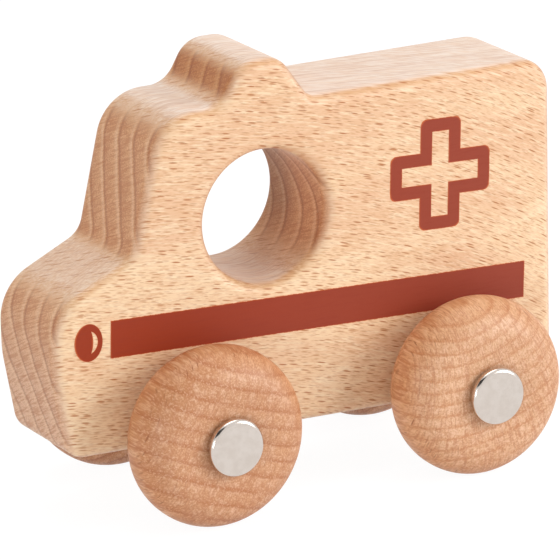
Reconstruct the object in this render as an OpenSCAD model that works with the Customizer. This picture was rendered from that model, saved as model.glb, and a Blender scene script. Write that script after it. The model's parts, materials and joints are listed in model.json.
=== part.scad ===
// Wooden toy ambulance: a beech plank body with a round grip hole, turned beech wheels that run
// on two steel axles, push-on steel axle caps, and a red print on each side.
// Millimetres. +Z is up, the nose points along -X, and the vehicle's left side faces -Y.
// The origin is on the floor, under the middle of the body.

/* [Body] */
// Length of the body from nose to tail
body_len = 128.5; // [116:0.5:150]
// Thickness of the plank that the body is cut from
body_w = 29; // [24:0.5:36]
// Round-over along both side edges of the outline
edge_round = 2.75; // [1:0.25:4]
// Height of the box roof above the belly at the tail
box_h = 77.3; // [70:0.1:86]
// Round of the roof's tail corner
tail_top_round = 7.5; // [5:0.5:14]
// Round of the belly's tail corner
tail_low_round = 8; // [5:0.5:12]

/* [Cab and bonnet] */
// Height of the cab roof above the belly at the tail
cab_h = 78; // [72:0.1:86]
// Distance from the nose back to the brow, where roof and windscreen would meet
brow_from_nose = 27.75; // [24:0.25:30]
// Round of the brow
brow_round = 11.7; // [6:0.1:14]
// Distance from the nose back to the foot of the windscreen
screen_from_nose = 20.35; // [17:0.05:24]
// Height of the windscreen's foot above the belly at the tail
screen_foot_h = 46.8; // [42:0.1:52]
// Hollow round at the windscreen's foot
screen_foot_round = 6.1; // [3:0.1:12]
// Height of the bonnet's front edge above the belly at the tail
bonnet_front_h = 37.15; // [33:0.05:41]
// Round of the bonnet's front edge
bonnet_round = 12.8; // [6:0.1:15]
// Height above the belly at the tail where the upright nose starts to lean back
nose_h = 22; // [16:0.5:25]
// Round where the nose starts to lean back
nose_round = 30; // [10:1:50]
// Distance from the nose back to the chin
chin_from_nose = 3.35; // [1:0.05:6]
// Height of the chin above the belly at the tail
chin_h = 2.7; // [0:0.1:3]
// Round of the chin
chin_round = 5; // [4:0.5:9]

/* [Roof light] */
// Distance from the nose back to the middle of the light
light_from_nose = 53.75; // [50:0.25:60]
// Height of the light above the cab roof
light_h = 9.5; // [8:0.1:14]
// Length of the light along its top
light_len = 10.2; // [9:0.1:16]
// Run of the light's front slope
light_run_front = 5.5; // [3:0.1:6.5]
// Run of the light's rear slope
light_run_rear = 7.2; // [3:0.1:12]
// Round of the light's two top corners
light_round = 7.3; // [4:0.1:9]
// Hollow round at the light's front foot
light_foot_front_round = 7; // [2:0.5:9]
// Hollow round at the light's rear foot
light_foot_rear_round = 2.5; // [1:0.5:8]

/* [Grip hole] */
// Diameter of the grip hole
grip_d = 30.8; // [24:0.2:34]
// Round-over of the hole's rims
grip_round = 2.75; // [1:0.25:4]
// Distance from the nose back to the middle of the hole
grip_from_nose = 54; // [50:0.1:58]
// Height of the hole's middle above the belly at the tail
grip_h = 51.1; // [48:0.1:55]

/* [Axles] */
// Diameter of the axle rods
axle_d = 5; // [4:0.1:6]
// Height of the axles above the belly at the tail
axle_rise = 6.5; // [5.8:0.1:10]
// Distance from the nose back to the front axle
front_axle_from_nose = 33.9; // [29:0.1:40]
// Distance from the tail forward to the rear axle
rear_axle_from_tail = 27.35; // [22:0.05:34]
// Running clearance between an axle and its bore in the body, on the radius
bore_clearance = 0.08; // [0.03:0.01:0.1]
// Bevel on the ends of the axle rods
axle_bevel = 0.4; // [0.2:0.1:0.8]

/* [Wheels] */
// Diameter of the wheels
wheel_d = 41.6; // [36:0.1:50]
// Thickness of the wheels
wheel_t = 17; // [12:0.5:22]
// Round of the wheels' rims
wheel_round = 8.2; // [3:0.1:9]
// Gap between the body's side and a wheel
wheel_gap = 2; // [0.5:0.1:4]
// Running clearance between an axle and a wheel's bore, on the radius
hub_clearance = 0.08; // [0.03:0.01:0.1]

/* [Axle caps] */
// Diameter of the caps
cap_d = 13.4; // [11.5:0.1:18]
// Thickness of the caps' sheet steel
cap_wall = 0.3; // [0.25:0.05:0.5]
// Round of the caps' outer edge
cap_round = 1.1; // [0.6:0.05:2]
// Rise of the caps' shallow dome
cap_crown = 0.35; // [0.1:0.05:0.6]
// Room between the end of an axle and the inside of its cap
cap_headroom = 0.3; // [0.2:0.05:1]
// Gap between a wheel and its cap
cap_gap = 0.9; // [0.3:0.05:1.5]
// Width of the lip that is crimped in under the retainer
lip_w = 0.6; // [0.3:0.1:1]

/* [Retainers] */
// Thickness of the toothed retainers' spring steel
retainer_t = 0.3; // [0.25:0.05:0.5]
// Gap between a retainer's rim and the wall of its cap
retainer_fit = 0.05; // [0.02:0.01:0.1]
// Number of teeth on a retainer
tooth_count = 6; // [4:1:8]
// Length of the teeth along the radius
tooth_len = 1.6; // [1.2:0.1:2]
// Rise of the dished teeth
tooth_rise = 0.6; // [0.4:0.1:1.2]
// Depth that the teeth bite into the axle
tooth_bite = 0.05; // [0.02:0.01:0.1]
// Width of the slots between the teeth
tooth_slot = 0.8; // [0.5:0.1:1]
// Length of axle that reaches out past the teeth
axle_stub = 0.25; // [0.2:0.05:0.6]

/* [Prints] */
// Thickness of the printed ink
ink_t = 0.1; // [0.05:0.01:0.2]
// Angle by which the print rises towards the nose
print_tilt = 2; // [0:0.5:3]
// Distance from the tail forward to the middle of the cross
cross_from_tail = 29.75; // [24:0.25:33]
// Distance from the box roof down to the middle of the cross
cross_below_roof = 22.9; // [20:0.1:25]
// Width and height of the cross
cross_size = 26; // [20:0.5:29]
// Width of the cross's arms
cross_arm = 10.5; // [8:0.25:13]
// Width of the line that draws the cross
cross_line = 3.05; // [1.5:0.05:3.5]
// Round of the cross's outer corners
cross_round = 1.5; // [0.5:0.1:2.5]
// Distance from the nose back to the stripe
stripe_from_nose = 13.95; // [13:0.05:30]
// Distance from the tail forward to the stripe
stripe_from_tail = 7.85; // [5:0.05:30]
// Height of the stripe
stripe_h = 8.7; // [5:0.1:10]
// Gap between the rim of the grip hole and the stripe
stripe_gap = 0.55; // [0.2:0.05:3]
// Distance from the nose back to the middle of the headlight
lamp_from_nose = 8.45; // [7.5:0.05:9.5]
// Width of the headlight
lamp_w = 6.95; // [6:0.05:7.5]
// Height of the headlight
lamp_h = 8.7; // [7:0.1:10]
// Height of the bare crescent in the headlight
glint_h = 5.1; // [4:0.1:5.6]
// Bulge of the crescent's outer edge
glint_bulge = 1.65; // [1.3:0.05:2]
// Greatest width of the crescent
glint_w = 1.15; // [0.6:0.05:1.3]
// Distance of the crescent's tips behind the middle of the headlight
glint_back = 0.65; // [0.2:0.05:0.8]

/* [Hidden] */

beech = [0.93, 0.78, 0.60];
turned_beech = [0.84, 0.64, 0.48];
red_ink = [0.66, 0.29, 0.22];
steel = [0.78, 0.78, 0.77];

// Facets of the round pieces
$fn = 96;
// Largest angle between the points of an outline's arcs
arc_step = 8;
// Steps in the round-over of the body's edges
edge_steps = 6;
// Steps in an arc of a turned or printed piece
turn_steps = 10;
// Points round the headlight's oval
oval_points = 60;
// Share of an edge that the rounds at its two ends may take up
edge_share = 0.98;
// Least round that the side edges leave on a bulging corner
least_corner = 0.5;
// Least width of the flat tread between a wheel's two rounds
least_tread = 0.4;
// How far a cut runs past the face that it cuts
overcut = 1;
// Sign of Y on the vehicle's two sides
left = -1;
right = 1;

nose_x = -body_len / 2;
tail_x = body_len / 2;
side_y = body_w / 2;
axle_z = wheel_d / 2;
belly_z = axle_z - axle_rise;
box_roof_z = belly_z + box_h;
cab_roof_z = belly_z + cab_h;

light_z = cab_roof_z + light_h;
light_rear_x = nose_x + light_from_nose + light_len / 2;
light_front_x = nose_x + light_from_nose - light_len / 2;
grip_x = nose_x + grip_from_nose;
grip_z = belly_z + grip_h;

front_axle_x = nose_x + front_axle_from_nose;
rear_axle_x = tail_x - rear_axle_from_tail;
wheel_y = side_y + wheel_gap;
cap_y = wheel_y + wheel_t + cap_gap;
axle_r = axle_d / 2;

// Inside a cap, the retainer lies on the lip and the axle's end stands past the teeth
cap_r = cap_d / 2;
cap_bore_r = cap_r - cap_wall;
lip_t = cap_wall;
axle_end_y = cap_y + lip_t + retainer_t + tooth_rise + axle_stub;
cap_h = axle_end_y - cap_y + cap_headroom + cap_wall;
cap_edge_h = cap_h - cap_crown;

// Corners of the body's outline, [x, z, round], anticlockwise as seen from the left side.
// The light's rear foot stands on the box roof and its front foot on the cab roof.
body_corners = [
    [tail_x, belly_z, tail_low_round],
    [tail_x, box_roof_z, tail_top_round],
    [light_rear_x + light_run_rear, box_roof_z, light_foot_rear_round],
    [light_rear_x, light_z, light_round],
    [light_front_x, light_z, light_round],
    [light_front_x - light_run_front, cab_roof_z, light_foot_front_round],
    [nose_x + brow_from_nose, cab_roof_z, brow_round],
    [nose_x + screen_from_nose, belly_z + screen_foot_h, screen_foot_round],
    [nose_x, belly_z + bonnet_front_h, bonnet_round],
    [nose_x, belly_z + nose_h, nose_round],
    [nose_x + chin_from_nose, belly_z + chin_h, chin_round]
];

function unit(v) = v / norm(v);
function turned(v, angle) = [v.x * cos(angle) - v.y * sin(angle), v.x * sin(angle) + v.y * cos(angle)];

// Points of an arc about a centre, in equal steps from one angle to another
function arc(centre, radius, from, to, steps) = [
    for (k = [0 : steps])
        let (angle = from + (to - from) * k / steps)
        centre + radius * [cos(angle), sin(angle)]
];

// An outline is a list of corners, [x, y, round], that runs anticlockwise. Edge i leads from
// corner i to the next, and a corner bends left where the outline bulges.
function corner(corners, i) = corners[(i + len(corners)) % len(corners)];
function tip(corners, i) = [corner(corners, i).x, corner(corners, i).y];
function edge(corners, i) = tip(corners, i + 1) - tip(corners, i);
function bend(corners, i) =
    let (before = edge(corners, i - 1), after = edge(corners, i))
    atan2(before.x * after.y - before.y * after.x, before * after);

// Length of edge that a corner's round takes up, and the share of that which fits on edge i
function reach(corners, i) = corner(corners, i).z * abs(tan(bend(corners, i) / 2));
function share(corners, i) =
    let (need = reach(corners, i) + reach(corners, i + 1))
    need > 0 ? edge_share * norm(edge(corners, i)) / need : 1;
function round_of(corners, i) = corner(corners, i).z * min(1, share(corners, i - 1), share(corners, i));

// Points of a rounded outline, each [x, y, outward x, outward y], along the arcs of its corners
function rounded(corners) = [
    for (i = [0 : len(corners) - 1])
        let (
            turn = bend(corners, i),
            radius = round_of(corners, i),
            way = unit(edge(corners, i - 1)),
            outward = [way.y, -way.x],
            centre = tip(corners, i) - way * radius * abs(tan(turn / 2)) - outward * radius * sign(turn),
            steps = radius > 0 ? ceil(abs(turn) / arc_step) : 0
        )
        for (k = [0 : steps])
            let (
                normal = turned(outward, steps > 0 ? turn * k / steps : 0),
                point = centre + normal * radius * sign(turn)
            )
            [point.x, point.y, normal.x, normal.y]
];

// Round of the side edges, kept under the round of the tightest bulging corner
bulging_rounds = [
    for (i = [0 : len(body_corners) - 1])
        if (bend(body_corners, i) > 0) round_of(body_corners, i)
];
side_round = min(edge_round, min(bulging_rounds) - least_corner);

// Plank of a width with an outline, its two side edges rounded over. Rings of points run from the
// left side to the right, each pulled in by the round, and each side closes on a middle point.
module rounded_plank(outline, width, round_r, middle) {
    half = [
        for (k = [0 : edge_steps])
            let (angle = 90 * k / edge_steps)
            [width / 2 - round_r * (1 - cos(angle)), round_r * (1 - sin(angle))]
    ];
    rings = concat(
        [for (ring = half) [-ring.x, ring.y]],
        [for (k = [edge_steps : -1 : 0]) half[k]]
    );
    count = len(outline);
    last = (len(rings) - 1) * count;
    left_middle = last + count;
    right_middle = left_middle + 1;
    points = concat(
        [for (ring = rings) for (p = outline) [p[0] - p[2] * ring.y, ring.x, p[1] - p[3] * ring.y]],
        [[middle.x, -width / 2, middle.y], [middle.x, width / 2, middle.y]]
    );
    faces = [
        for (i = [0 : count - 1])
            let (next = (i + 1) % count)
            each concat(
                [[left_middle, next, i], [right_middle, last + i, last + next]],
                [
                    for (row = [0 : count : last - count])
                        each [
                            [row + i, row + next, row + count + next],
                            [row + i, row + count + next, row + count + i]
                        ]
                ]
            )
    ];
    polyhedron(points, faces, convexity = 6);
}

// Turns a piece that was made along Z so that it runs along Y, outwards on the given side
module along_y(side) {
    rotate([-90 * side, 0, 0]) children();
}

// Grip hole with rounded rims: a profile of radius and depth, spun about the hole's axis.
// The rim's round stops short of lying flush with the side and runs on straight past it.
module grip_cut() {
    rim_stop = 80;
    wall_r = grip_d / 2;
    rim = arc([wall_r + grip_round, side_y - grip_round], grip_round, 180, 180 - rim_stop, turn_steps);
    rim_end = rim[turn_steps];
    mouth_z = side_y + overcut;
    mouth_r = rim_end.x + (mouth_z - rim_end.y) * tan(rim_stop);
    upper = concat(rim, [[mouth_r, mouth_z], [0, mouth_z]]);
    lower = [for (k = [len(upper) - 1 : -1 : 0]) [upper[k].x, -upper[k].y]];
    translate([grip_x, 0, grip_z]) along_y(right)
        rotate_extrude() polygon(concat(lower, upper));
}

// Bore through the body for an axle
module axle_bore(x) {
    translate([x, 0, axle_z]) along_y(right)
        cylinder(r = axle_r + bore_clearance, h = body_w + 2 * overcut, center = true);
}

module body_block() {
    color(beech) difference() {
        rounded_plank(rounded(body_corners), body_w, side_round, [grip_x, grip_z]);
        grip_cut();
        axle_bore(front_axle_x);
        axle_bore(rear_axle_x);
    }
}

// Places of the prints: the stripe runs just below the grip hole, the headlight lies on its line
stripe_x = (nose_x + stripe_from_nose + tail_x - stripe_from_tail) / 2;
stripe_len = (body_len - stripe_from_nose - stripe_from_tail) / cos(print_tilt);
stripe_drop = grip_d / 2 + grip_round + stripe_gap + stripe_h / 2;
lamp_x = nose_x + lamp_from_nose;
function stripe_line_z(x) = grip_z - stripe_drop - (x - grip_x) * tan(print_tilt);

// Ink film on one side of the body: a flat shape about its own middle, tilted with the print
module print(side, x, z) {
    color(red_ink) translate([x, side * (side_y + ink_t / 2), z])
        rotate([0, print_tilt, 0])
        rotate([90, 0, 0])
        linear_extrude(ink_t, center = true) children();
}

module stripe(side) {
    print(side, stripe_x, stripe_line_z(stripe_x)) square([stripe_len, stripe_h], center = true);
}

module left_stripe() { stripe(left); }
module right_stripe() { stripe(right); }

// Plus sign whose outer corners alone are rounded
module plus(half_size, half_arm, round_r) {
    arm = [[half_size, -half_arm, round_r], [half_size, half_arm, round_r], [half_arm, half_arm, 0]];
    corners = [
        for (quarter = [0 : 3])
            for (p = arm)
                concat(turned([p.x, p.y], 90 * quarter), p.z)
    ];
    polygon([for (p = rounded(corners)) [p[0], p[1]]]);
}

// Cross drawn as a line of even width round a bare plus sign
module cross_sign(side) {
    print(side, tail_x - cross_from_tail, box_roof_z - cross_below_roof)
        difference() {
            plus(cross_size / 2, cross_arm / 2, cross_round);
            plus(cross_size / 2 - cross_line, cross_arm / 2 - cross_line, 0);
        }
}

module left_cross() { cross_sign(left); }
module right_cross() { cross_sign(right); }

// Arc that bulges along +X from a chord of a height on the Y axis
function bow(height, bulge) =
    let (
        radius = (height * height / 4 + bulge * bulge) / (2 * bulge),
        swing = asin(height / 2 / radius)
    )
    arc([bulge - radius, 0], radius, -swing, swing, turn_steps);

// Oval headlight with a bare crescent between two arcs that share their tips
module headlight(side) {
    oval = [
        for (k = [0 : oval_points - 1])
            let (angle = 360 * k / oval_points)
            [lamp_w / 2 * cos(angle), lamp_h / 2 * sin(angle)]
    ];
    outer = bow(glint_h, glint_bulge);
    inner = bow(glint_h, glint_bulge - glint_w);
    print(side, lamp_x, stripe_line_z(lamp_x))
        difference() {
            polygon(oval);
            translate([glint_back, 0])
                polygon(concat(outer, [for (k = [turn_steps - 1 : -1 : 1]) inner[k]]));
        }
}

module left_headlight() { headlight(left); }
module right_headlight() { headlight(right); }

// Steel rod with bevelled ends that reaches into both of its caps
module axle(x) {
    color(steel) translate([x, 0, axle_z]) along_y(right)
        rotate_extrude() polygon([
            [0, -axle_end_y],
            [axle_r - axle_bevel, -axle_end_y],
            [axle_r, -axle_end_y + axle_bevel],
            [axle_r, axle_end_y - axle_bevel],
            [axle_r - axle_bevel, axle_end_y],
            [0, axle_end_y]
        ]);
}

module front_axle() { axle(front_axle_x); }
module rear_axle() { axle(rear_axle_x); }

// Turned wheel with a bored hub and a full round rim
module wheel(x, side) {
    bore_r = axle_r + hub_clearance;
    rim_round = min(wheel_round, (wheel_t - least_tread) / 2);
    rim_r = wheel_d / 2 - rim_round;
    color(turned_beech) translate([x, side * wheel_y, axle_z]) along_y(side)
        rotate_extrude() polygon(concat(
            [[bore_r, 0]],
            arc([rim_r, rim_round], rim_round, -90, 0, turn_steps),
            arc([rim_r, wheel_t - rim_round], rim_round, 0, 90, turn_steps),
            [[bore_r, wheel_t]]
        ));
}

module front_left_wheel() { wheel(front_axle_x, left); }
module front_right_wheel() { wheel(front_axle_x, right); }
module rear_left_wheel() { wheel(rear_axle_x, left); }
module rear_right_wheel() { wheel(rear_axle_x, right); }

// Toothed spring-steel ring that bites the end of an axle: a flat rim and dished teeth
module retainer(x, side) {
    rim_r = cap_bore_r - retainer_fit;
    bite_r = axle_r - tooth_bite;
    root_r = bite_r + tooth_len;
    color(steel) translate([x, side * (cap_y + lip_t), axle_z]) along_y(side)
        difference() {
            rotate_extrude() polygon([
                [root_r, 0],
                [rim_r, 0],
                [rim_r, retainer_t],
                [root_r, retainer_t],
                [bite_r, retainer_t + tooth_rise],
                [bite_r, tooth_rise]
            ]);
            for (k = [0 : tooth_count - 1])
                rotate([0, 0, 360 * k / tooth_count])
                    translate([0, -tooth_slot / 2, -overcut])
                    cube([root_r, tooth_slot, retainer_t + tooth_rise + 2 * overcut]);
        }
}

module front_left_retainer() { retainer(front_axle_x, left); }
module front_right_retainer() { retainer(front_axle_x, right); }
module rear_left_retainer() { retainer(rear_axle_x, left); }
module rear_right_retainer() { retainer(rear_axle_x, right); }

// One skin of a cap, from the top of its wall over the round edge and the shallow dome to the axis.
// The round leaves the wall straight as far up as the retainer's rim.
function cap_skin(inset) =
    let (
        edge_r = min(cap_round, cap_edge_h - lip_t - retainer_t),
        flat_r = cap_r - edge_r,
        dome_r = (flat_r * flat_r + cap_crown * cap_crown) / (2 * cap_crown)
    )
    concat(
        arc([flat_r, cap_edge_h - edge_r], edge_r - inset, 0, 90, turn_steps),
        [
            for (k = [turn_steps - 1 : -1 : 0])
                let (r = flat_r * k / turn_steps)
                [r, cap_h - inset - dome_r + sqrt(dome_r * dome_r - r * r)]
        ]
    );

// Pressed steel cap, hollow, with a lip crimped in under the retainer
module cap(x, side) {
    inner = cap_skin(cap_wall);
    color(steel) translate([x, side * cap_y, axle_z]) along_y(side)
        rotate_extrude() polygon(concat(
            [[cap_bore_r - lip_w, 0], [cap_r, 0]],
            cap_skin(0),
            [for (k = [len(inner) - 1 : -1 : 0]) inner[k]],
            [[cap_bore_r, lip_t], [cap_bore_r - lip_w, lip_t]]
        ));
}

module front_left_cap() { cap(front_axle_x, left); }
module front_right_cap() { cap(front_axle_x, right); }
module rear_left_cap() { cap(rear_axle_x, left); }
module rear_right_cap() { cap(rear_axle_x, right); }

body_block();
left_stripe();
left_cross();
left_headlight();
right_stripe();
right_cross();
right_headlight();
front_axle();
rear_axle();
front_left_wheel();
front_right_wheel();
rear_left_wheel();
rear_right_wheel();
front_left_retainer();
front_right_retainer();
rear_left_retainer();
rear_right_retainer();
front_left_cap();
front_right_cap();
rear_left_cap();
rear_right_cap();
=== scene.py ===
import json

import bmesh
import bpy
import numpy as np
from mathutils import Matrix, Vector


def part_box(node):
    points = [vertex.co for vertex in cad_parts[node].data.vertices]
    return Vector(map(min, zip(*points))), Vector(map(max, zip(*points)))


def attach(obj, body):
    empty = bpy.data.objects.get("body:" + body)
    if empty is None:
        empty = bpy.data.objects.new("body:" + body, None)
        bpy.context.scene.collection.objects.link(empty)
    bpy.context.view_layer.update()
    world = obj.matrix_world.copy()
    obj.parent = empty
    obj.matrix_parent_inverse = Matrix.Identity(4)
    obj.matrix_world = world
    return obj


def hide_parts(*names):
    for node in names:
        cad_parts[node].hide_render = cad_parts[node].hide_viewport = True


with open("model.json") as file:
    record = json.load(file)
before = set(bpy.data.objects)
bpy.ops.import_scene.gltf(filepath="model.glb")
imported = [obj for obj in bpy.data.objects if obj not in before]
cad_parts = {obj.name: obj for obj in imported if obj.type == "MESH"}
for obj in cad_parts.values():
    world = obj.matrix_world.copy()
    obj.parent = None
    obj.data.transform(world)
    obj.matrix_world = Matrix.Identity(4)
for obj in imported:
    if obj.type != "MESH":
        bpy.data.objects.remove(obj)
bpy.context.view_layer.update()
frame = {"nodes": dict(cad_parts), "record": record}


# Body: one block of beech, sawn to the ambulance's outline and bored for the grip and the two axles.
# Its edges are rounded over and sanded. The grain runs along the block, so the sides show the short
# dark flecks of beech rays, and the windscreen and nose show end grain with its growth rings.

MM = 0.001

body_half_width = 14.5
edge_round = 2.75
grip_round = 2.75
bore_radius = 2.58
axle_rise = 6.5

# Fineness of the mesh: points round the outline and on one corner's arc, rows over a rounded edge, and
# how far from a round the row lies that keeps the flat face beside it flat
body_columns = 600
arc_points = 33
round_rows = 12
hold = 0.4

grip = frame["record"]["mounts"][0]
grip_x, _, grip_z = np.array(grip["pos_m"]) / MM
grip_radius = grip["dims"]["r_mm"]
joints = frame["record"]["behaviour"]["joints"]
turning_points = {joint["name"]: np.array(joint["pos_m"]) / MM for joint in joints}
front_axle_x, _, axle_z = turning_points["front_axle_spin"]
rear_axle_x = turning_points["rear_axle_spin"][0]
belly_z = axle_z - axle_rise

# Corners of the outline as x, height above the belly and round, anticlockwise as seen from the left side
body_corners = np.array([
    (64.25, 0.0, 8.0),
    (64.25, 77.3, 7.5),
    (1.8, 77.3, 2.5),
    (-5.4, 87.5, 7.3),
    (-15.6, 87.5, 7.3),
    (-21.1, 78.0, 7.0),
    (-36.5, 78.0, 11.7),
    (-43.9, 46.8, 6.1),
    (-64.25, 37.15, 12.8),
    (-64.25, 22.0, 30.0),
    (-60.9, 2.7, 5.0),
]) + (0.0, belly_z, 0.0)


def rounded_outline(corners, count, turn_share=12.0):
    """Points and outward normals along a closed outline with rounded corners.

    A corner's arc has its centre where the two edges, moved inwards by the round, cross: the corner
    less the round times the sum of both edges' normals over one plus their product. The points lie at
    equal steps of length plus turn_share times the angle turned, so that tight arcs get more of them.
    """
    tips = corners[:, :2]
    ways = np.roll(tips, -1, axis=0) - tips
    ways = ways / np.linalg.norm(ways, axis=1, keepdims=True)
    after = np.stack([ways[:, 1], -ways[:, 0]], axis=1)
    before = np.roll(after, 1, axis=0)
    product = (before * after).sum(axis=1)
    turn = np.arctan2(before[:, 0] * after[:, 1] - before[:, 1] * after[:, 0], product)
    bulge = corners[:, 2] * np.sign(turn)
    centres = tips - (bulge / (1 + product))[:, None] * (before + after)
    shares = np.linspace(0, 1, arc_points)
    angles = np.arctan2(before[:, 1], before[:, 0])[:, None] + turn[:, None] * shares
    normals = np.stack([np.cos(angles), np.sin(angles)], axis=2)
    points = centres[:, None] + bulge[:, None, None] * normals
    track = np.concatenate([points, normals], axis=2).reshape(-1, 4)
    track = np.vstack([track, track[:1]])
    steps = np.linalg.norm(np.diff(track[:, :2], axis=0), axis=1)
    turns = np.linalg.norm(np.diff(track[:, 2:], axis=0), axis=1)
    measure = np.concatenate([[0.0], np.cumsum(steps + turn_share * turns)])
    at = np.linspace(0, measure[-1], count, endpoint=False)
    sampled = np.stack([np.interp(at, measure, column) for column in track.T], axis=1)
    return sampled[:, :2], sampled[:, 2:] / np.linalg.norm(sampled[:, 2:], axis=1, keepdims=True)


def body_surface():
    """Grid of points on the body, closed both ways like a ring.

    A column is a point of the outline. A row is a step from the middle of the grip hole's wall, over
    the hole's rim, across the side, over the edge and to the middle of the outer band, then back along
    the other side. It mixes a point of a circle about the hole, at the column's own angle, with the
    outline's point pulled in along its normal, and sets both at one distance from the middle plane.
    """
    outline, normals = rounded_outline(body_corners, body_columns)
    middle = np.array([grip_x, grip_z])
    spoke = outline - middle
    spoke = spoke / np.linalg.norm(spoke, axis=1, keepdims=True)
    quarter = np.linspace(0, np.pi / 2, round_rows)
    rim_r = grip_radius + grip_round * (1 - np.cos(quarter))
    rim_y = body_half_width - grip_round * (1 - np.sin(quarter))
    edge_in = edge_round * (1 - np.sin(quarter))
    edge_y = body_half_width - edge_round * (1 - np.cos(quarter))
    wall = [(0, grip_radius, 0, 0), (0, grip_radius, 0, rim_y[0] - hold)]
    rim = [(0, r, 0, y) for r, y in zip(rim_r, rim_y)]
    mouth = grip_radius + grip_round + hold
    shore = edge_round + hold
    side = [(mix, mouth, shore, body_half_width) for mix in (0, 1 / 3, 2 / 3, 1)]
    edge = [(1, 0, inset, y) for inset, y in zip(edge_in, edge_y)]
    band = [(1, 0, 0, edge_y[-1] - hold), (1, 0, 0, 0)]
    half = np.array(wall + rim + side + edge + band)
    rows = np.vstack([half * (1, 1, 1, -1), half[-2:0:-1]])
    mix, radius, inset, depth = (column[:, None, None] for column in rows.T)
    flat = (1 - mix) * (middle + radius * spoke) + mix * (outline - inset * normals)
    x, z = flat[:, :, 0], flat[:, :, 1]
    y = np.broadcast_to(depth[:, :, 0], x.shape)
    return np.stack([x, y, z], axis=2)


# Shapes for every piece: meshes from grids of points, turned shapes, bores and the finished piece


def grid_mesh(name, points, loop_rows, loop_columns, marks=None):
    """Mesh of a grid of points in millimetres.

    A face joins each point with the next in its row and with the two in the next row, and a looped
    direction joins its last line to its first. Marks hold named numbers for each point of the grid.
    """
    rows, columns = points.shape[:2]
    numbers = np.arange(rows * columns).reshape(rows, columns)
    if loop_rows:
        numbers = np.vstack([numbers, numbers[:1]])
    if loop_columns:
        numbers = np.hstack([numbers, numbers[:, :1]])
    quads = np.stack([numbers[:-1, :-1], numbers[:-1, 1:], numbers[1:, 1:], numbers[1:, :-1]], axis=2)
    mesh = bpy.data.meshes.new(name)
    mesh.from_pydata((points.reshape(-1, 3) * MM).tolist(), [], quads.reshape(-1, 4).tolist())
    for mark, values in (marks or {}).items():
        spread = np.broadcast_to(values, (rows, columns)).astype(np.float32).reshape(-1)
        mesh.attributes.new(mark, "FLOAT", "POINT").data.foreach_set("value", spread)
    return smoothed(mesh)


merge_distance = 0.0001 * MM
sharp_bend = np.radians(35.0)


def smoothed(mesh):
    """The mesh with doubles merged, faces outwards and smooth shading but where it bends sharply."""
    work = bmesh.new()
    work.from_mesh(mesh)
    bmesh.ops.remove_doubles(work, verts=work.verts, dist=merge_distance)
    bmesh.ops.recalc_face_normals(work, faces=work.faces)
    work.to_mesh(mesh)
    work.free()
    mesh.shade_smooth()
    mesh.set_sharp_from_angle(angle=sharp_bend)
    return mesh


def turned_points(profile, x, side, count=128):
    """Grid of a turned shape: each profile point (radius, distance outwards) goes round an axle.

    Point = (x + radius cos angle, side times distance, axle height + radius sin angle).
    """
    angles = np.linspace(0, 2 * np.pi, count, endpoint=False)
    radius, outwards = np.asarray(profile, float).T[:, :, None]
    return np.stack([
        x + radius * np.cos(angles),
        np.broadcast_to(side * outwards, (len(profile), count)),
        axle_z + radius * np.sin(angles),
    ], axis=2)


def new_object(name, mesh):
    """An object at the origin that shows the mesh."""
    shown = bpy.data.objects.new(name, mesh)
    bpy.context.scene.collection.objects.link(shown)
    return shown


def add_piece(name, mesh, material, body, node):
    """A finished piece that rides on a body and stands for one node of the frame."""
    mesh.materials.clear()
    mesh.materials.append(material)
    piece = new_object(name, mesh)
    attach(piece, body)
    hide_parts(node)
    return piece


bore_overrun = 5.0


def bored(mesh, places):
    """The mesh with an axle bore cut through it at each place along the body."""
    block = new_object("uncut_block", mesh)
    reach = body_half_width + bore_overrun
    rod = [(0, -reach), (bore_radius, -reach), (bore_radius, reach), (0, reach)]
    cutters = []
    for place in places:
        cutter_mesh = grid_mesh("bore_cutter", turned_points(rod, place, 1), False, True)
        cutter = new_object("bore_cutter", cutter_mesh)
        cut = block.modifiers.new("bore", "BOOLEAN")
        cut.operation = "DIFFERENCE"
        cut.solver = "EXACT"
        cut.object = cutter
        cutters.append(cutter)
    finished = block.evaluated_get(bpy.context.evaluated_depsgraph_get())
    result = bpy.data.meshes.new_from_object(finished)
    for spent in [block] + cutters:
        bpy.data.objects.remove(spent)
    return smoothed(result)


# Materials for every piece: colours, shader nodes, noise and the patterns of wood


def paint(red, green, blue):
    """A colour given in the 0 to 255 steps of a picture, as the linear values that shaders use."""
    steps = np.array([red, green, blue]) / 255
    linear = np.where(steps <= 0.04045, steps / 12.92, ((steps + 0.055) / 1.055) ** 2.4)
    return (*linear.tolist(), 1.0)


def new_material(name):
    """A material with its node tree and its shader."""
    material = bpy.data.materials.new(name)
    material.use_nodes = True
    return material, material.node_tree, material.node_tree.nodes["Principled BSDF"]


def add(tree, kind, inputs, **settings):
    """A node of one kind. Inputs are plain values or other nodes' outputs, by name or number."""
    made = tree.nodes.new(kind)
    for name, value in settings.items():
        setattr(made, name, value)
    for key, value in inputs.items():
        if isinstance(value, bpy.types.NodeSocket):
            tree.links.new(value, made.inputs[key])
        else:
            made.inputs[key].default_value = value
    return made


def calc(tree, operation, *values):
    """The result of one sum on numbers."""
    return add(tree, "ShaderNodeMath", dict(enumerate(values)), operation=operation).outputs[0]


def along_vector(tree, operation, *values):
    """The result of one sum on vectors."""
    return add(tree, "ShaderNodeVectorMath", dict(enumerate(values)), operation=operation).outputs[0]


def weighted(tree, *terms):
    """A sum of numbers, each times its own weight, given as pairs of number and weight."""
    total = 0.0
    for value, weight in terms:
        total = calc(tree, "MULTIPLY_ADD", value, weight, total)
    return total


def ease(tree, value, low, high, out_low=0.0, out_high=1.0):
    """The value carried smoothly from one range to another, and held at its ends."""
    return add(tree, "ShaderNodeMapRange", {
        "Value": value, "From Min": low, "From Max": high, "To Min": out_low, "To Max": out_high,
    }, interpolation_type="SMOOTHSTEP").outputs["Result"]


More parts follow.
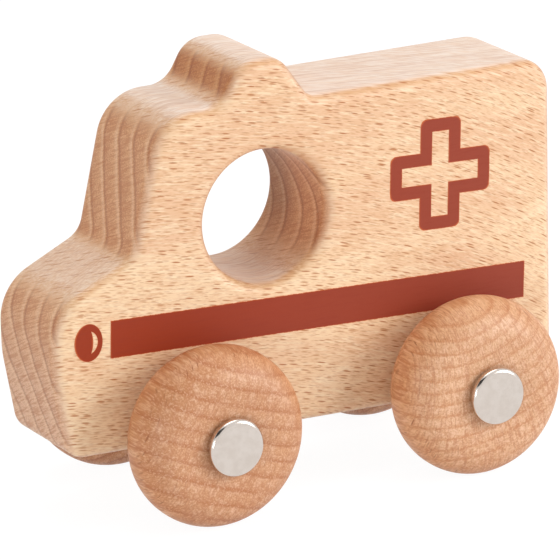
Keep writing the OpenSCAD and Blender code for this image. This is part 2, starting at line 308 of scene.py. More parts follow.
def blend(tree, share, first, second, mode="MIX"):
    """Two colours mixed by a share of the second: inputs 6 and 7 of the node, and its output 2."""
    inputs = {0: share, 6: first, 7: second}
    return add(tree, "ShaderNodeMix", inputs, data_type="RGBA", blend_type=mode).outputs[2]


def layered(tree, colour, *layers):
    """A colour with other tones laid over it in turn.

    A layer holds a pattern, the pattern's value where the tone starts, its value where the tone is
    full, the share that the tone then has, and the tone itself.
    """
    for pattern, start, full, share, tone in layers:
        colour = blend(tree, ease(tree, pattern, start, full, 0.0, share), colour, paint(*tone))
    return colour


def ramp(tree, value, stops):
    """A number read off a curve of straight lines between stops, given as pairs of place and height."""
    made = add(tree, "ShaderNodeValToRGB", {"Fac": value})
    line = made.color_ramp
    while len(line.elements) < len(stops):
        line.elements.new(1.0)
    for element, (place, height) in zip(line.elements, stops):
        element.position = place
        element.color = (height, height, height, 1.0)
    return made.outputs["Color"]


def millimetres(tree):
    """The place on the piece as three numbers in millimetres, and the surface's own direction."""
    place = add(tree, "ShaderNodeTexCoord", {})
    scaled = along_vector(tree, "MULTIPLY", place.outputs["Object"], (1000.0, 1000.0, 1000.0))
    axes = add(tree, "ShaderNodeSeparateXYZ", {0: scaled})
    facing = add(tree, "ShaderNodeSeparateXYZ", {0: place.outputs["Normal"]})
    return axes.outputs, facing.outputs


def cloud(tree, grain, sizes, detail=2.0, roughness=0.5):
    """Soft noise from 0 to 1 whose clouds are sizes mm long along each of the grain's directions."""
    place = add(tree, "ShaderNodeCombineXYZ", dict(enumerate(grain))).outputs[0]
    place = along_vector(tree, "DIVIDE", place, sizes)
    return add(tree, "ShaderNodeTexNoise", {
        "Vector": place, "Scale": 1.0, "Detail": detail, "Roughness": roughness,
    }).outputs["Fac"]


def ray_flecks(tree, grain, pitch, size, shift):
    """Spindles of ray tissue from 0 to 1: one ellipsoid in each cell of a random honeycomb.

    The cells are pitch mm apart along each direction of the grain, and an ellipsoid has size mm as
    its half lengths. Each has a strength of its own.
    """
    place = add(tree, "ShaderNodeCombineXYZ", dict(enumerate(grain))).outputs[0]
    place = along_vector(tree, "ADD", along_vector(tree, "DIVIDE", place, pitch), shift)
    cells = add(tree, "ShaderNodeTexVoronoi", {"Vector": place, "Scale": 1.0, "Randomness": 0.9})
    offset = along_vector(tree, "SUBTRACT", place, cells.outputs["Position"])
    offset = along_vector(tree, "MULTIPLY", offset, tuple(p / s for p, s in zip(pitch, size)))
    distance = add(tree, "ShaderNodeVectorMath", {0: offset}, operation="LENGTH").outputs["Value"]
    chance = add(tree, "ShaderNodeSeparateXYZ", {0: cells.outputs["Color"]}).outputs[0]
    strength = calc(tree, "MULTIPLY_ADD", chance, 0.75, 0.25)
    return calc(tree, "MULTIPLY", ease(tree, distance, 1.0, 0.4), strength)


def growth_rings(tree, grain, width, wander, stops):
    """Tone of the growth rings from 0, pale, to 1, dark: the place within a ring, read off the stops."""
    across = grain[1]
    drift = calc(tree, "SUBTRACT", cloud(tree, grain, (55.0, 16.0, 22.0)), 0.5)
    across = calc(tree, "MULTIPLY_ADD", drift, wander, across)
    return ramp(tree, calc(tree, "FRACT", calc(tree, "DIVIDE", across, width)), stops)


body_beech, tree, shader = new_material("body_beech")
(x, y, z), (facing_x, facing_y, facing_z) = millimetres(tree)

# The grain's three directions: along the block, across the growth rings, which lean to one side, and
# across the rays, which dip along a cubic curve, ever more steeply towards the tail
ring_lean = -0.53
ring_skew = 0.18
ray_lean = 0.45
dip_slope = 0.22
dip_bend = 0.0016
dip_twist = 0.0000117
across_rings = weighted(tree, (y, 1.0), (z, ring_lean), (x, ring_skew))
dip = calc(tree, "MULTIPLY_ADD", x, dip_twist, dip_bend)
dip = calc(tree, "MULTIPLY_ADD", x, dip, dip_slope)
across_rays = calc(tree, "MULTIPLY_ADD", x, dip, weighted(tree, (z, 1.0), (y, ray_lean)))
grain = (x, across_rings, across_rays)

# How far a face shows end grain, how far it turns between front and side, which places the painted
# edge highlight, and how far it looks up
lengthwise = calc(tree, "ABSOLUTE", facing_x)
end_grain = ease(tree, lengthwise, 0.42, 0.9)
edge_highlight_mask = calc(tree, "MULTIPLY", lengthwise, calc(tree, "ABSOLUTE", facing_y))
upward = ease(tree, facing_z, 0.7, 0.98)

# Patterns in the wood, with their sizes in mm along the grain's three directions. A ring starts pale
# and darkens to a thin late line.
ring_stops = [(0, 0.3), (0.07, 0.05), (0.4, 0.28), (0.8, 0.55), (0.92, 0.85), (0.97, 0.7), (1, 0.3)]
rings = growth_rings(tree, grain, width=7.0, wander=5.0, stops=ring_stops)
fine_lines = cloud(tree, grain, (60.0, 0.9, 9.0))
fibre = cloud(tree, grain, (5.0, 0.7, 0.3), detail=3.0, roughness=0.65)
glint_threads = cloud(tree, grain, (14.0, 2.0, 0.55), roughness=0.6)
hatch = cloud(tree, grain, (6.0, 7.0, 0.45), roughness=0.6)
combed = cloud(tree, grain, (20.0, 0.45, 6.0), roughness=0.6)
pores = cloud(tree, grain, (4.0, 0.36, 0.36), roughness=0.7)
patches = cloud(tree, grain, (38.0, 9.0, 16.0), detail=3.0)
board_tone = weighted(tree, (patches, 1.0), (z, 0.003))
long_flecks = ray_flecks(
    tree, grain, pitch=(3.3, 5.5, 0.88), size=(1.5, 3.2, 0.23), shift=(0.0, 0.0, 0.0))
short_flecks = ray_flecks(
    tree, grain, pitch=(2.2, 4.0, 0.7), size=(0.85, 2.2, 0.15), shift=(31.7, 8.3, 17.1))
flecks = calc(tree, "MAXIMUM", long_flecks, calc(tree, "MULTIPLY", short_flecks, 0.6))

# Sides: a pale board with faint rings, fine lines, pale streaks of painted glint along the grain and
# darker fibres
side_wood = blend(tree, ease(tree, board_tone, 0.5, 0.85), paint(252, 220, 180), paint(238, 194, 156))
side_wood = blend(tree, calc(tree, "MULTIPLY", rings, 0.35), side_wood, paint(230, 182, 138))
side_wood = layered(
    tree, side_wood,
    (fine_lines, 0.4, 0.75, 0.35, (230, 182, 138)),
    # painted glint: pale streaks along the grain
    (glint_threads, 0.46, 0.68, 0.65, (254, 230, 196)),
    (fibre, 0.45, 0.66, 0.55, (222, 168, 122)),
)

# End grain: dark rings, paler towards the floor by painted bounce light from the floor, with pores, rays
# as crossing lines, and each ring's pale start and late line drawn last. The roof light's front has
# painted shade.
front_wood = blend(tree, rings, paint(228, 170, 120), paint(170, 98, 56))
front_wood = layered(
    tree, front_wood,
    (patches, 0.35, 0.7, 0.4, (220, 160, 114)),
    (fibre, 0.46, 0.64, 0.5, (240, 192, 150)),
    # painted bounce light from the floor: paler towards the floor
    (z, 60.0, 20.0, 0.6, (242, 204, 175)),
    (pores, 0.52, 0.36, 0.5, (172, 106, 64)),
    (pores, 0.5, 0.66, 0.42, (236, 196, 159)),
    (hatch, 0.47, 0.6, 0.6, (190, 122, 78)),
    (rings, 0.22, 0.06, 0.35, (242, 206, 172)),
    (rings, 0.55, 0.85, 0.4, (156, 92, 54)),
)
# Painted shade on the roof light's front
front_wood = blend(tree, ease(tree, z, 84.0, 93.0), front_wood, paint(226, 202, 170), "MULTIPLY")

# Both together, with a painted highlight on the rounded edges between front and side, a roof paled
# by painted sheen and streaked along the grain, painted shade on the round between roof and side, and
# flecks that fade on end grain and roof
wood = blend(tree, end_grain, side_wood, front_wood)
# Painted highlight on the rounded edges between front and side
wood = layered(tree, wood, (edge_highlight_mask, 0.14, 0.5, 0.25, (244, 212, 186)))
# Painted sheen: the roof paled towards white where it looks up
roof = calc(tree, "MULTIPLY", upward, ease(tree, glint_threads, 0.35, 0.6, 0.4, 0.8))
wood = blend(tree, roof, wood, paint(252, 230, 214))
streaks = calc(tree, "MULTIPLY", upward, ease(tree, combed, 0.48, 0.64, 0.0, 0.65))
wood = blend(tree, streaks, wood, paint(216, 170, 136))
# Painted shade on the round between roof and side
brow_shade = calc(tree, "MULTIPLY", ease(tree, facing_z, 0.4, 0.7), ease(tree, facing_z, 0.98, 0.85))
brow_shade = calc(tree, "MULTIPLY", brow_shade, ease(tree, fibre, 0.35, 0.65, 0.3, 0.9))
brow_shade = calc(tree, "MULTIPLY", brow_shade, ease(tree, lengthwise, 0.82, 0.42))
wood = blend(tree, brow_shade, wood, paint(220, 168, 120))
fleck_share = calc(tree, "MULTIPLY", flecks, ease(tree, end_grain, 0.0, 1.0, 0.95, 0.45))
fleck_share = calc(tree, "MULTIPLY", fleck_share, ease(tree, facing_z, 0.85, 0.98, 1.0, 0.25))
wood = blend(tree, fleck_share, wood, paint(184, 106, 44))

# Painted shade in the grip hole: its wall is a little darker, and greyer and darker towards the right
# side
spot = add(tree, "ShaderNodeCombineXYZ", {0: x, 2: z}).outputs[0]
grip_middle = (grip_x, 0.0, grip_z)
distance = add(tree, "ShaderNodeVectorMath", {0: spot, 1: grip_middle}, operation="DISTANCE")
from_grip = distance.outputs["Value"]
# Painted shade: darker deeper in the hole, towards the right side
hole_shade = calc(tree, "MULTIPLY", ease(tree, y, -6.0, 8.0), ease(tree, facing_z, 0.8, 0.2))
hole_shade_tone = blend(tree, hole_shade, paint(250, 246, 240), paint(226, 230, 236))
wood = blend(tree, ease(tree, from_grip, 18.0, 15.6), wood, hole_shade_tone, "MULTIPLY")

# Finish: oiled and sanded, duller on end grain, with fibres and flecks a little below the surface
tree.links.new(wood, shader.inputs["Base Color"])
roughness = calc(tree, "MULTIPLY_ADD", end_grain, 0.22, ease(tree, fibre, 0.2, 0.8, 0.36, 0.54))
tree.links.new(roughness, shader.inputs["Roughness"])
shader.inputs["Sheen Weight"].default_value = 0.3
shader.inputs["Sheen Roughness"].default_value = 0.4
relief = weighted(tree, (fibre, -0.5), (flecks, -0.4))
bump = add(tree, "ShaderNodeBump", {"Strength": 0.25, "Distance": 0.00012, "Height": relief})
tree.links.new(bump.outputs[0], shader.inputs["Normal"])

body_mesh = bored(grid_mesh("body_block", body_surface(), True, True), (front_axle_x, rear_axle_x))
add_piece("wood_body", body_mesh, body_beech, "body", "body_block")


# Print: a stripe, an outlined cross and an oval headlight on each side, in brick-red ink.
# The ink is laid on in one thin coat, so its edges are a little ragged and glow orange where the
# coat thins out over the wood.


def middle_of(node):
    """Middle of a node's box as x and z, in millimetres."""
    return np.mean(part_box(node), axis=0)[[0, 2]] / MM


# Sizes of the print. The fringe is the coat's thin edge, and the glint the headlight's bare crescent.
ink_thickness = 0.1
print_tilt = np.radians(2.0)
fringe = 0.22
unevenness = 0.03
stripe_middle = middle_of("left_stripe")
stripe_length = 106.77
stripe_height = 8.7
cross_middle = middle_of("left_cross")
cross_size = 26.0
cross_arm = 10.5
cross_line = 3.05
cross_round = 1.5
lamp_middle = middle_of("left_headlight")
lamp_width = 6.95
lamp_height = 8.7
glint_height = 5.1
glint_bulge = 1.65
glint_width = 1.15
glint_back = 0.65

# Points along the stripe, round the cross, on the plus sign it is read from and on each bow of the
# glint, and how often the cross's edge runs through its unevenness
stripe_columns = 320
cross_columns = 720
plus_points = 4000
glint_columns = 90
cross_ripples = 9


def ragged(along, seed):
    """Small unevenness of a printed edge, in mm: three waves of unlike length along the edge."""
    long_wave = np.sin(1.9 * along + seed)
    middle_wave = np.sin(4.3 * along + 2.1 * seed)
    short_wave = np.sin(9.7 * along + 0.7 * seed)
    return unevenness * (long_wave + middle_wave + short_wave)


def print_grid(flat, depth, middle, side):
    """Grid of an ink film: flat points (u, v) tilted by the print's angle about a place on the side.

    Depth goes from 0 at the wood to 1 at the film's outer face.
    """
    u, v = flat[..., 0], flat[..., 1]
    x = middle[0] + u * np.cos(print_tilt) + v * np.sin(print_tilt)
    z = middle[1] - u * np.sin(print_tilt) + v * np.cos(print_tilt)
    y = side * (body_half_width + ink_thickness * np.broadcast_to(depth, x.shape))
    return np.stack([x, y, z], axis=2)


def ring_film(name, outer, inner, width, middle, side):
    """Closed film between two matched loops of points.

    Each row mixes both loops at one depth: back and front at either loop, and two rows in between that
    hold the fringe.
    """
    share = fringe / width
    rows = [(0, 0, 1), (0, 1, 1), (share, 1, 0), (1 - share, 1, 0), (1, 1, 1), (1, 0, 1)]
    mix, depth, thin_edge = np.array(rows, float).T
    flat = outer + mix[:, None, None] * (inner - outer)
    grid = print_grid(flat, depth[:, None], middle, side)
    return grid_mesh(name, grid, True, True, {"thin_edge": thin_edge[:, None]})


def stripe_film(name, side):
    """Film of the stripe: a loop of rows round its thin section, drawn along its length.

    The first and last columns fold front and back together, which closes the ends.
    """
    half_length = stripe_length / 2
    half_height = stripe_height / 2
    along = np.linspace(-half_length + fringe, half_length - fringe, stripe_columns)
    columns = np.concatenate([[-half_length, -half_length], along, [half_length, half_length]])
    rows = np.array([
        (-half_height, 0, 1), (-half_height, 1, 1), (fringe - half_height, 1, 0),
        (half_height - fringe, 1, 0), (half_height, 1, 1), (half_height, 0, 1),
    ], float)
    v, depth, thin_edge = (column[:, None] for column in rows.T)
    shore = np.abs(v) > half_height - fringe / 2
    end = np.abs(columns) > half_length - fringe / 2
    u = columns + np.where(end, ragged(v, 1.0), 0)
    v = v + np.where(shore, ragged(columns, 3.0), 0)
    folded = np.zeros(len(columns), bool)
    folded[[0, -1]] = True
    flat = np.stack(np.broadcast_arrays(u, v), axis=2)
    grid = print_grid(flat, np.where(folded, 0.5, depth), stripe_middle, side)
    return grid_mesh(name, grid, True, False, {"thin_edge": np.maximum(thin_edge, end)})


def plus_loop(half_size, half_arm, corner_round, angles):
    """Points of a plus sign at the given angles about its middle, with its outer corners rounded."""
    arm = np.array([(half_size, -half_arm), (half_size, half_arm), (half_arm, half_arm)])
    quarters = [arm @ np.array([(c, s), (-s, c)]) for c, s in ((1, 0), (0, 1), (-1, 0), (0, -1))]
    rounds = np.tile((corner_round, corner_round, 0.0), 4)
    corners = np.column_stack([np.vstack(quarters), rounds])
    points, _ = rounded_outline(corners, plus_points, turn_share=0.0)
    reach = np.linalg.norm(points, axis=1)
    radius = np.interp(angles, np.arctan2(points[:, 1], points[:, 0]), reach, period=2 * np.pi)
    return radius[:, None] * np.stack([np.cos(angles), np.sin(angles)], axis=1)


def cross_film(name, side):
    """Film of the cross: an even line round a bare plus sign."""
    angles = np.linspace(0, 2 * np.pi, cross_columns, endpoint=False)
    along = np.linspace(0, 2 * np.pi * cross_ripples, cross_columns, endpoint=False)
    wave = 1 + ragged(along, 2.0)[:, None] / cross_size
    outer = plus_loop(cross_size / 2, cross_arm / 2, cross_round, angles) * wave
    inner = plus_loop(cross_size / 2 - cross_line, cross_arm / 2 - cross_line, 0.0, angles) * wave
    return ring_film(name, outer, inner, cross_line, cross_middle, side)


def bow(share, height, bulge):
    """Points of an arc that bulges along u from an upright chord, at shares from -1 to 1 of its swing.

    The radius is the sum of the squares of half the chord and of the bulge, over twice the bulge.
    """
    radius = (height * height / 4 + bulge * bulge) / (2 * bulge)
    swing = np.arcsin(height / 2 / radius) * share
    middle = glint_back + bulge - radius
    return np.stack([middle + radius * np.cos(swing), radius * np.sin(swing)], axis=1)


def lamp_film(name, side):
    """Film of the headlight: an oval with a bare crescent between two bows that share their tips.

    A third of the oval's width stands for the gap between its edge and the crescent, which varies.
    """
    swing = np.linspace(-1, 1, glint_columns, endpoint=False)
    inner = np.vstack([
        bow(swing, glint_height, glint_bulge),
        bow(-swing, glint_height, glint_bulge - glint_width),
    ])
    angles = np.concatenate([swing, 2 + swing]) * np.pi / 2
    outer = np.stack([lamp_width / 2 * np.cos(angles), lamp_height / 2 * np.sin(angles)], axis=1)
    return ring_film(name, outer, inner, lamp_width / 3, lamp_middle, side)


brick_ink, tree, shader = new_material("brick_ink")
(x, y, z), _ = millimetres(tree)
speckle = cloud(tree, (x, y, z), (0.5, 0.5, 0.5), detail=3.0, roughness=0.7)
drag = cloud(tree, (x, y, z), (5.0, 1.0, 0.4))
thin = add(tree, "ShaderNodeAttribute", {}, attribute_name="thin_edge").outputs["Fac"]
ink = blend(tree, ease(tree, x, -60.0, 55.0), paint(155, 52, 18), paint(152, 63, 42))
ink = layered(
    tree, ink,
    (drag, 0.45, 0.8, 0.4, (144, 50, 30)),
    (speckle, 0.66, 0.8, 0.5, (180, 86, 58)),
    (thin, 0.1, 1.0, 0.95, (210, 106, 56)),
)
tree.links.new(ink, shader.inputs["Base Color"])
tree.links.new(ease(tree, speckle, 0.2, 0.8, 0.5, 0.66), shader.inputs["Roughness"])
shader.inputs["Specular IOR Level"].default_value = 0.3
bump = add(tree, "ShaderNodeBump", {"Strength": 0.2, "Distance": 0.00006, "Height": drag})
tree.links.new(bump.outputs[0], shader.inputs["Normal"])

side_signs = {"left": -1, "right": 1}
for side_name, side in side_signs.items():
    for sign, film in (("stripe", stripe_film), ("cross", cross_film), ("headlight", lamp_film)):
        name = f"{side_name}_{sign}"
        add_piece(f"ink_{name}", film(name, side), brick_ink, "body", name)


# Axles: two drawn steel rods, one through each bore, with bevelled ends that reach into the caps.
# They turn freely in the body, and the wheels turn on them.

axle_radius = 2.5
axle_bevel = 0.4
axle_end = 35.85
axle_columns = 64

drawn_steel, tree, shader = new_material("drawn_steel")
(x, y, z), _ = millimetres(tree)
streaks = cloud(tree, (x, y, z), (0.25, 9.0, 0.25))
stain = cloud(tree, (x, y, z), (3.0, 6.0, 3.0), detail=3.0)
steel = blend(tree, ease(tree, streaks, 0.3, 0.75), paint(206, 205, 202), paint(176, 175, 172))
steel = layered(tree, steel, (stain, 0.55, 0.8, 0.35, (150, 143, 134)))
tree.links.new(steel, shader.inputs["Base Color"])
shader.inputs["Metallic"].default_value = 1.0
tree.links.new(ease(tree, streaks, 0.2, 0.8, 0.24, 0.4), shader.inputs["Roughness"])

rod_half = [(0, axle_end), (axle_radius - axle_bevel, axle_end), (axle_radius, axle_end - axle_bevel)]
rod_profile = rod_half + [(r, -d) for r, d in rod_half[::-1]]
axle_places = {"front": front_axle_x, "rear": rear_axle_x}
for end_name, place in axle_places.items():
    name = f"{end_name}_axle"
    rod_mesh = grid_mesh(name, turned_points(rod_profile, place, 1, axle_columns), False, True)
    add_piece(f"{end_name}_rod", rod_mesh, drawn_steel, f"{name}_set", name)


# Wheels: four discs turned from beech with a full round rim and a bored hub.
# Their grain runs along the axle, so the faces show growth rings and rays as fine crossing lines.

wheel_inner_face = 16.5
wheel_thickness = 17.0
wheel_radius = axle_z
wheel_round = 8.2
hub_radius = 2.58
hub_bevel = 0.3
rim_rows = 18
wheel_columns = 160

quarter = np.linspace(0, np.pi / 2, rim_rows)
rim_radius = wheel_radius - wheel_round
rim_half = np.stack([
    rim_radius + wheel_round * np.sin(quarter),
    wheel_round * (1 - np.cos(quarter)),
], axis=1)
hub_half = np.array([(hub_radius, hub_bevel), (hub_radius + hub_bevel, 0), (rim_radius - hold, 0)])
wheel_half = np.vstack([[(hub_radius, wheel_thickness / 2)], hub_half, rim_half])
far_half = wheel_half[:0:-1] * (1, -1) + (0, wheel_thickness)
wheel_profile = np.vstack([wheel_half, far_half]) + (0, wheel_inner_face)


def wheel_beech(name, place, pith, ring_width, shift, pale, deep, ring_tone):
    """Beech seen on its end grain: rings about a pith beside the wheel, rays running out from it.

    Across the rings is the distance from the pith, and across the rays the angle about the pith times
    the pith's distance from the wheel's middle.
    """
    material, tree, shader = new_material(name)
    (x, y, z), (_, facing_y, _) = millimetres(tree)
    from_pith_x = calc(tree, "SUBTRACT", x, place + pith[0])
    from_pith_z = calc(tree, "SUBTRACT", z, axle_z + pith[1])
    square_x = calc(tree, "POWER", from_pith_x, 2.0)
    square_z = calc(tree, "POWER", from_pith_z, 2.0)
    from_pith = calc(tree, "SQRT", calc(tree, "ADD", square_x, square_z))
    across_rings = calc(tree, "ADD", from_pith, shift)
    angle = calc(tree, "ARCTAN2", from_pith_z, from_pith_x)
    across_rays = calc(tree, "MULTIPLY", angle, float(np.hypot(*pith)))
    ripple = cloud(tree, (y, across_rings, across_rays), (9.0, 2.5, 0.8))
    ripple = calc(tree, "SUBTRACT", ripple, 0.5)
    across_rings = calc(tree, "MULTIPLY_ADD", ripple, 0.7, across_rings)
    grain = (y, across_rings, across_rays)
    face = calc(tree, "POWER", calc(tree, "ABSOLUTE", facing_y), 2.0)
    stops = [(0, 0.15), (0.1, 0.0), (0.45, 0.1), (0.7, 0.35), (0.86, 0.9), (0.94, 0.75), (1, 0.15)]
    rings = growth_rings(tree, grain, ring_width, wander=1.8, stops=stops)
    broken = cloud(tree, grain, (9.0, 3.0, 6.0))
    fibre = cloud(tree, grain, (5.0, 0.38, 0.38), roughness=0.65)
    mottle = cloud(tree, grain, (8.0, 1.3, 0.7), detail=3.0, roughness=0.7)
    hatch = cloud(tree, grain, (6.0, 5.0, 0.4), roughness=0.6)
    tint = cloud(tree, grain, (20.0, 9.0, 12.0))
    blocks = cloud(tree, grain, (8.0, 2.2, 1.8), detail=1.0)
    flecks = ray_flecks(
        tree, grain, pitch=(3.2, 4.5, 1.1), size=(1.2, 1.7, 0.16), shift=(5.0, shift, 2.0))
    ring_share = calc(tree, "MULTIPLY", rings, ease(tree, broken, 0.3, 0.52, 0.55, 1.0))
    wood = blend(tree, ease(tree, tint, 0.35, 0.68), pale, deep)
    wood = layered(
        tree, wood,
        (mottle, 0.4, 0.64, 0.7, (208, 150, 108)),
        (blocks, 0.5, 0.62, 0.4, (238, 194, 162)),
    )
    wood = blend(tree, ring_share, wood, ring_tone)
    wood = layered(
        tree, wood,
        (hatch, 0.48, 0.62, 0.6, (196, 132, 92)),
        (fibre, 0.5, 0.68, 0.5, (240, 202, 172)),
        (fibre, 0.5, 0.34, 0.5, (186, 122, 82)),
    )
    fleck_share = calc(tree, "MULTIPLY", flecks, ease(tree, face, 0.2, 0.9, 0.9, 0.35))
    wood = blend(tree, fleck_share, wood, paint(164, 100, 56))
    wood = blend(tree, ease(tree, face, 0.9, 0.2, 0.0, 0.8), wood, paint(251, 238, 219), "MULTIPLY")
    tree.links.new(wood, shader.inputs["Base Color"])
    tree.links.new(ease(tree, mottle, 0.2, 0.8, 0.4, 0.56), shader.inputs["Roughness"])
    relief = weighted(tree, (fibre, 0.4), (rings, -0.3), (flecks, -0.6))
    bump = add(tree, "ShaderNodeBump", {"Strength": 0.25, "Distance": 0.00012, "Height": relief})
    tree.links.new(bump.outputs[0], shader.inputs["Normal"])
    return material


# Each wheel's own wood: the pith's place from the wheel's middle, the rings' width and shift, all in
# mm, and the tones of its pale wood, its deep wood and its late rings
wheel_woods = {
    "front_left": ((88.0, 260.0), 3.8, 0.0, (216, 161, 120), (202, 144, 102), (184, 114, 68)),
    "front_right": ((40.0, -120.0), 3.2, 1.1, (218, 164, 120), (204, 146, 100), (176, 106, 62)),
    "rear_left": ((-12.0, 50.0), 2.85, 0.6, (236, 192, 154), (224, 176, 136), (204, 140, 94)),
    "rear_right": ((-70.0, 90.0), 3.5, 2.3, (228, 178, 138), (216, 164, 124), (188, 120, 74)),
}
for corner, (pith, ring_width, shift, *tones) in wheel_woods.items():
    end_name, side_name = corner.split("_")
    name = f"{corner}_wheel"
    place = axle_places[end_name]
    wheel_points = turned_points(wheel_profile, place, side_signs[side_name], wheel_columns)
    wheel_mesh = grid_mesh(name, wheel_points, True, True)
    pale, deep, ring_tone = (paint(*tone) for tone in tones)
    material = wheel_beech(f"{name}_beech", place, pith, ring_width, shift, pale, deep, ring_tone)
    add_piece(f"turned_{name}", wheel_mesh, material, name, name)


# Retainers: toothed rings of spring steel inside the caps, which bite the ends of the axles.
# They are stamped from sheet and blued by hardening, and the frame's own solids show them.

blued_spring, tree, shader = new_material("blued_spring")
(x, y, z), _ = millimetres(tree)
heat = cloud(tree, (x, y, z), (2.5, 2.5, 2.5), detail=3.0)
scratches = cloud(tree, (x, y, z), (0.2, 0.2, 2.4))
steel = blend(tree, ease(tree, heat, 0.35, 0.7), paint(122, 124, 130), paint(96, 92, 96))
steel = layered(tree, steel, (scratches, 0.55, 0.8, 0.5, (160, 160, 162)))
tree.links.new(steel, shader.inputs["Base Color"])
shader.inputs["Metallic"].default_value = 1.0
tree.links.new(ease(tree, heat, 0.2, 0.8, 0.3, 0.5), shader.inputs["Roughness"])
for corner in wheel_woods:
    for held in frame["nodes"][f"{corner}_retainer"].material_slots:
        held.material = blued_spring


# Caps: shallow cups pressed from bright plated steel, with a lip crimped in under the retainer.
# They push onto the ends of the axles and keep the wheels on.

cap_inner_face = 34.4
cap_radius = 6.7
cap_wall = 0.3
cap_round = 1.1
cap_crown = 0.35
cap_height = 2.05
cap_lip = 0.6
cap_foot = 0.1
cap_round_rows = 16
cap_dome_rows = 12
cap_columns = 96


def cap_skin(inset):
    """One skin of a cap from its wall, over a quarter round, up a shallow dome to the axis."""
    edge_height = cap_height - cap_crown
    flat_radius = cap_radius - cap_round
    swing = np.linspace(0, np.pi / 2, cap_round_rows)
    edge = np.stack([
        flat_radius + (cap_round - inset) * np.cos(swing),
        edge_height - cap_round + (cap_round - inset) * np.sin(swing),
    ], axis=1)
    dome_radius = (flat_radius ** 2 + cap_crown ** 2) / (2 * cap_crown)
    radius = np.linspace(flat_radius, 0, cap_dome_rows)[1:]
    height = cap_height - inset - dome_radius + np.sqrt(dome_radius ** 2 - radius ** 2)
    return np.vstack([edge, np.stack([radius, height], axis=1)])


cap_bore = cap_radius - cap_wall
foot = [(cap_bore - cap_lip, 0), (cap_radius - cap_foot, 0), (cap_radius, cap_foot)]
crimp = [(cap_bore, cap_wall), (cap_bore - cap_lip, cap_wall)]
cap_profile = np.vstack([foot, cap_skin(0), cap_skin(cap_wall)[::-1], crimp]) + (0, cap_inner_face)

bright_plate, tree, shader = new_material("bright_plate")
(x, y, z), _ = millimetres(tree)
haze = cloud(tree, (x, y, z), (2.2, 2.2, 2.2), detail=3.0)
pits = cloud(tree, (x, y, z), (0.35, 0.35, 0.35))
plate = blend(tree, ease(tree, haze, 0.3, 0.7), paint(214, 204, 196), paint(208, 197, 188))
plate = layered(tree, plate, (pits, 0.7, 0.82, 0.5, (160, 154, 146)))
tree.links.new(plate, shader.inputs["Base Color"])
shader.inputs["Metallic"].default_value = 1.0
tree.links.new(ease(tree, haze, 0.25, 0.75, 0.12, 0.18), shader.inputs["Roughness"])

for end_name, place in axle_places.items():
    for side_name, side in side_signs.items():
        name = f"{end_name}_{side_name}_cap"
        cap_mesh = grid_mesh(name, turned_points(cap_profile, place, side, cap_columns), True, True)
        body = f"{end_name}_axle_set"
        add_piece(f"pressed_{name}", cap_mesh, bright_plate, body, name)


# Studio: a wide white floor that keeps a faint shadow, even white light from all round and three soft
# lamps: the strongest between the toy's left side and its tail, one overhead and a small one beside the
# nose. A dark card hangs where the caps mirror it.

floor_half = 6.0
floor_tone = 0.9
floor_glow = 1.1
floor_lift = 0.86
room_light = 0.5

corner_signs = np.array([(-1, -1), (1, -1), (1, 1), (-1, 1)])
floor_mesh = bpy.data.meshes.new("floor")
floor_corners = [(floor_half * i, floor_half * j, 0.0) for i, j in corner_signs.tolist()]
floor_mesh.from_pydata(floor_corners, [], [(0, 1, 2, 3)])
floor = new_object("floor", floor_mesh)


def seen_directly(tree):
    """1 for rays from the camera, a mirror or a glass, and 0 for the soft light on the object."""
    ray = add(tree, "ShaderNodeLightPath", {})
    mirror = calc(tree, "MAXIMUM", ray.outputs["Is Glossy Ray"], ray.outputs["Is Transmission Ray"])
    return calc(tree, "MAXIMUM", ray.outputs["Is Camera Ray"], mirror)


floor_white, tree, shader = new_material("floor_white")
tree.nodes.remove(shader)
matt = add(tree, "ShaderNodeBsdfDiffuse", {"Color": (floor_tone, floor_tone, floor_tone, 1.0)})
glow = add(tree, "ShaderNodeEmission", {"Color": (1.0, 1.0, 1.0, 1.0), "Strength": floor_glow})
lift = calc(tree, "MULTIPLY", seen_directly(tree), floor_lift)
mixed = add(tree, "ShaderNodeMixShader", {0: lift, 1: matt.outputs[0], 2: glow.outputs[0]})
tree.links.new(mixed.outputs[0], tree.nodes["Material Output"].inputs["Surface"])
floor_mesh.materials.append(floor_white)

scene = bpy.context.scene
scene.world = bpy.data.worlds.new("white_room")
scene.world.use_nodes = True
tree = scene.world.node_tree
room = tree.nodes["Background"]
room.inputs["Color"].default_value = (1.0, 1.0, 1.0, 1.0)
room_strength = ease(tree, seen_directly(tree), 0.0, 1.0, room_light, 1.0)
tree.links.new(room_strength, room.inputs["Strength"])


def placed(right, up, back, spot):
    """The matrix of a lamp or camera at a spot, looking against back, with its right and up ways."""
    turn = np.eye(4)
    turn[:3, 0], turn[:3, 1], turn[:3, 2], turn[:3, 3] = right, up, back, spot
    return Matrix(turn.tolist())


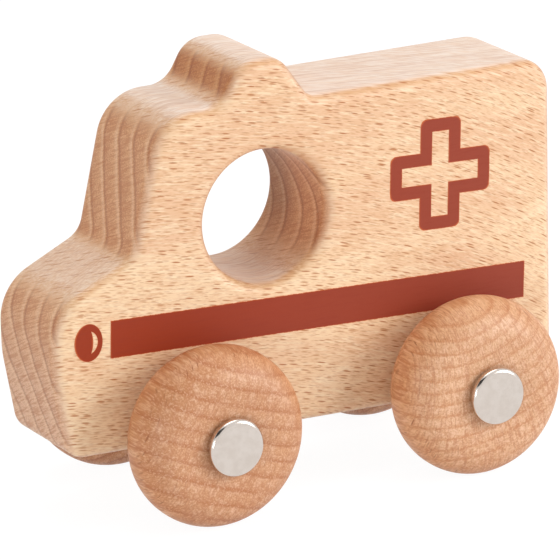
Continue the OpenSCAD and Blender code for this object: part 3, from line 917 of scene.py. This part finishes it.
# Each lamp's way from the toy, its size in metres and its power in watts
lamp_aim = np.array([0.0, 0.0, 0.05])
lamps = (
    ("key_lamp", (0.68, -0.66, 0.34), 0.6, 5.1),
    ("top_lamp", (0.05, 0.15, 1.0), 0.8, 3.2),
    ("left_lamp", (-0.85, -0.5, 0.06), 0.35, 2.1),
)
for name, way, size, power in lamps:
    lamp_data = bpy.data.lights.new(name, "AREA")
    lamp_data.shape = "DISK"
    lamp_data.size = size
    lamp_data.energy = power
    lamp = bpy.data.objects.new(name, lamp_data)
    scene.collection.objects.link(lamp)
    out = np.array(way) / np.linalg.norm(way)
    across = np.cross([0.0, 0.0, 1.0], out)
    across = across / np.linalg.norm(across)
    lamp.matrix_world = placed(across, np.cross(out, across), out, out + lamp_aim)


# A dark card to the upper left, which only mirrors show: it draws the caps' rounded rims
card_way = np.array([-0.62, -0.38, 0.69])
card_across = np.array([0.52, -0.85, 0.0])
card_halves = (0.6, 0.3)
card_up = np.cross(card_way, card_across)
card_corners = card_way + lamp_aim + (corner_signs * card_halves) @ np.array([card_across, card_up])
card_mesh = bpy.data.meshes.new("dark_card")
card_mesh.from_pydata(card_corners.tolist(), [], [(0, 1, 2, 3)])
card_black, _, shader = new_material("card_black")
shader.inputs["Base Color"].default_value = paint(30, 30, 32)
card_mesh.materials.append(card_black)
card = new_object("dark_card", card_mesh)
card.visible_camera = False
card.visible_diffuse = False
card.visible_shadow = False


# Camera: a long lens on the toy's left, turned towards the nose, looking a little down and a touch out
# of level.

camera_azimuth = np.radians(-28.45)
camera_height = np.radians(17.14)
camera_roll = np.radians(-1.30)
camera_distance = 1.2834
camera_target = np.array([0.5, 0.0, 45.3]) * MM

camera_data = bpy.data.cameras.new("camera")
camera_data.lens = 362.79
camera_data.sensor_width = 36.0
camera = bpy.data.objects.new("camera", camera_data)
scene.collection.objects.link(camera)
back = np.array([
    np.sin(camera_azimuth) * np.cos(camera_height),
    -np.cos(camera_azimuth) * np.cos(camera_height),
    np.sin(camera_height),
])
level = np.array([np.cos(camera_azimuth), np.sin(camera_azimuth), 0.0])
upright = np.cross(back, level)
right = level * np.cos(camera_roll) + upright * np.sin(camera_roll)
camera.matrix_world = placed(right, np.cross(back, right), back, camera_target + camera_distance * back)
scene.camera = camera
scene.view_settings.view_transform = "Standard"
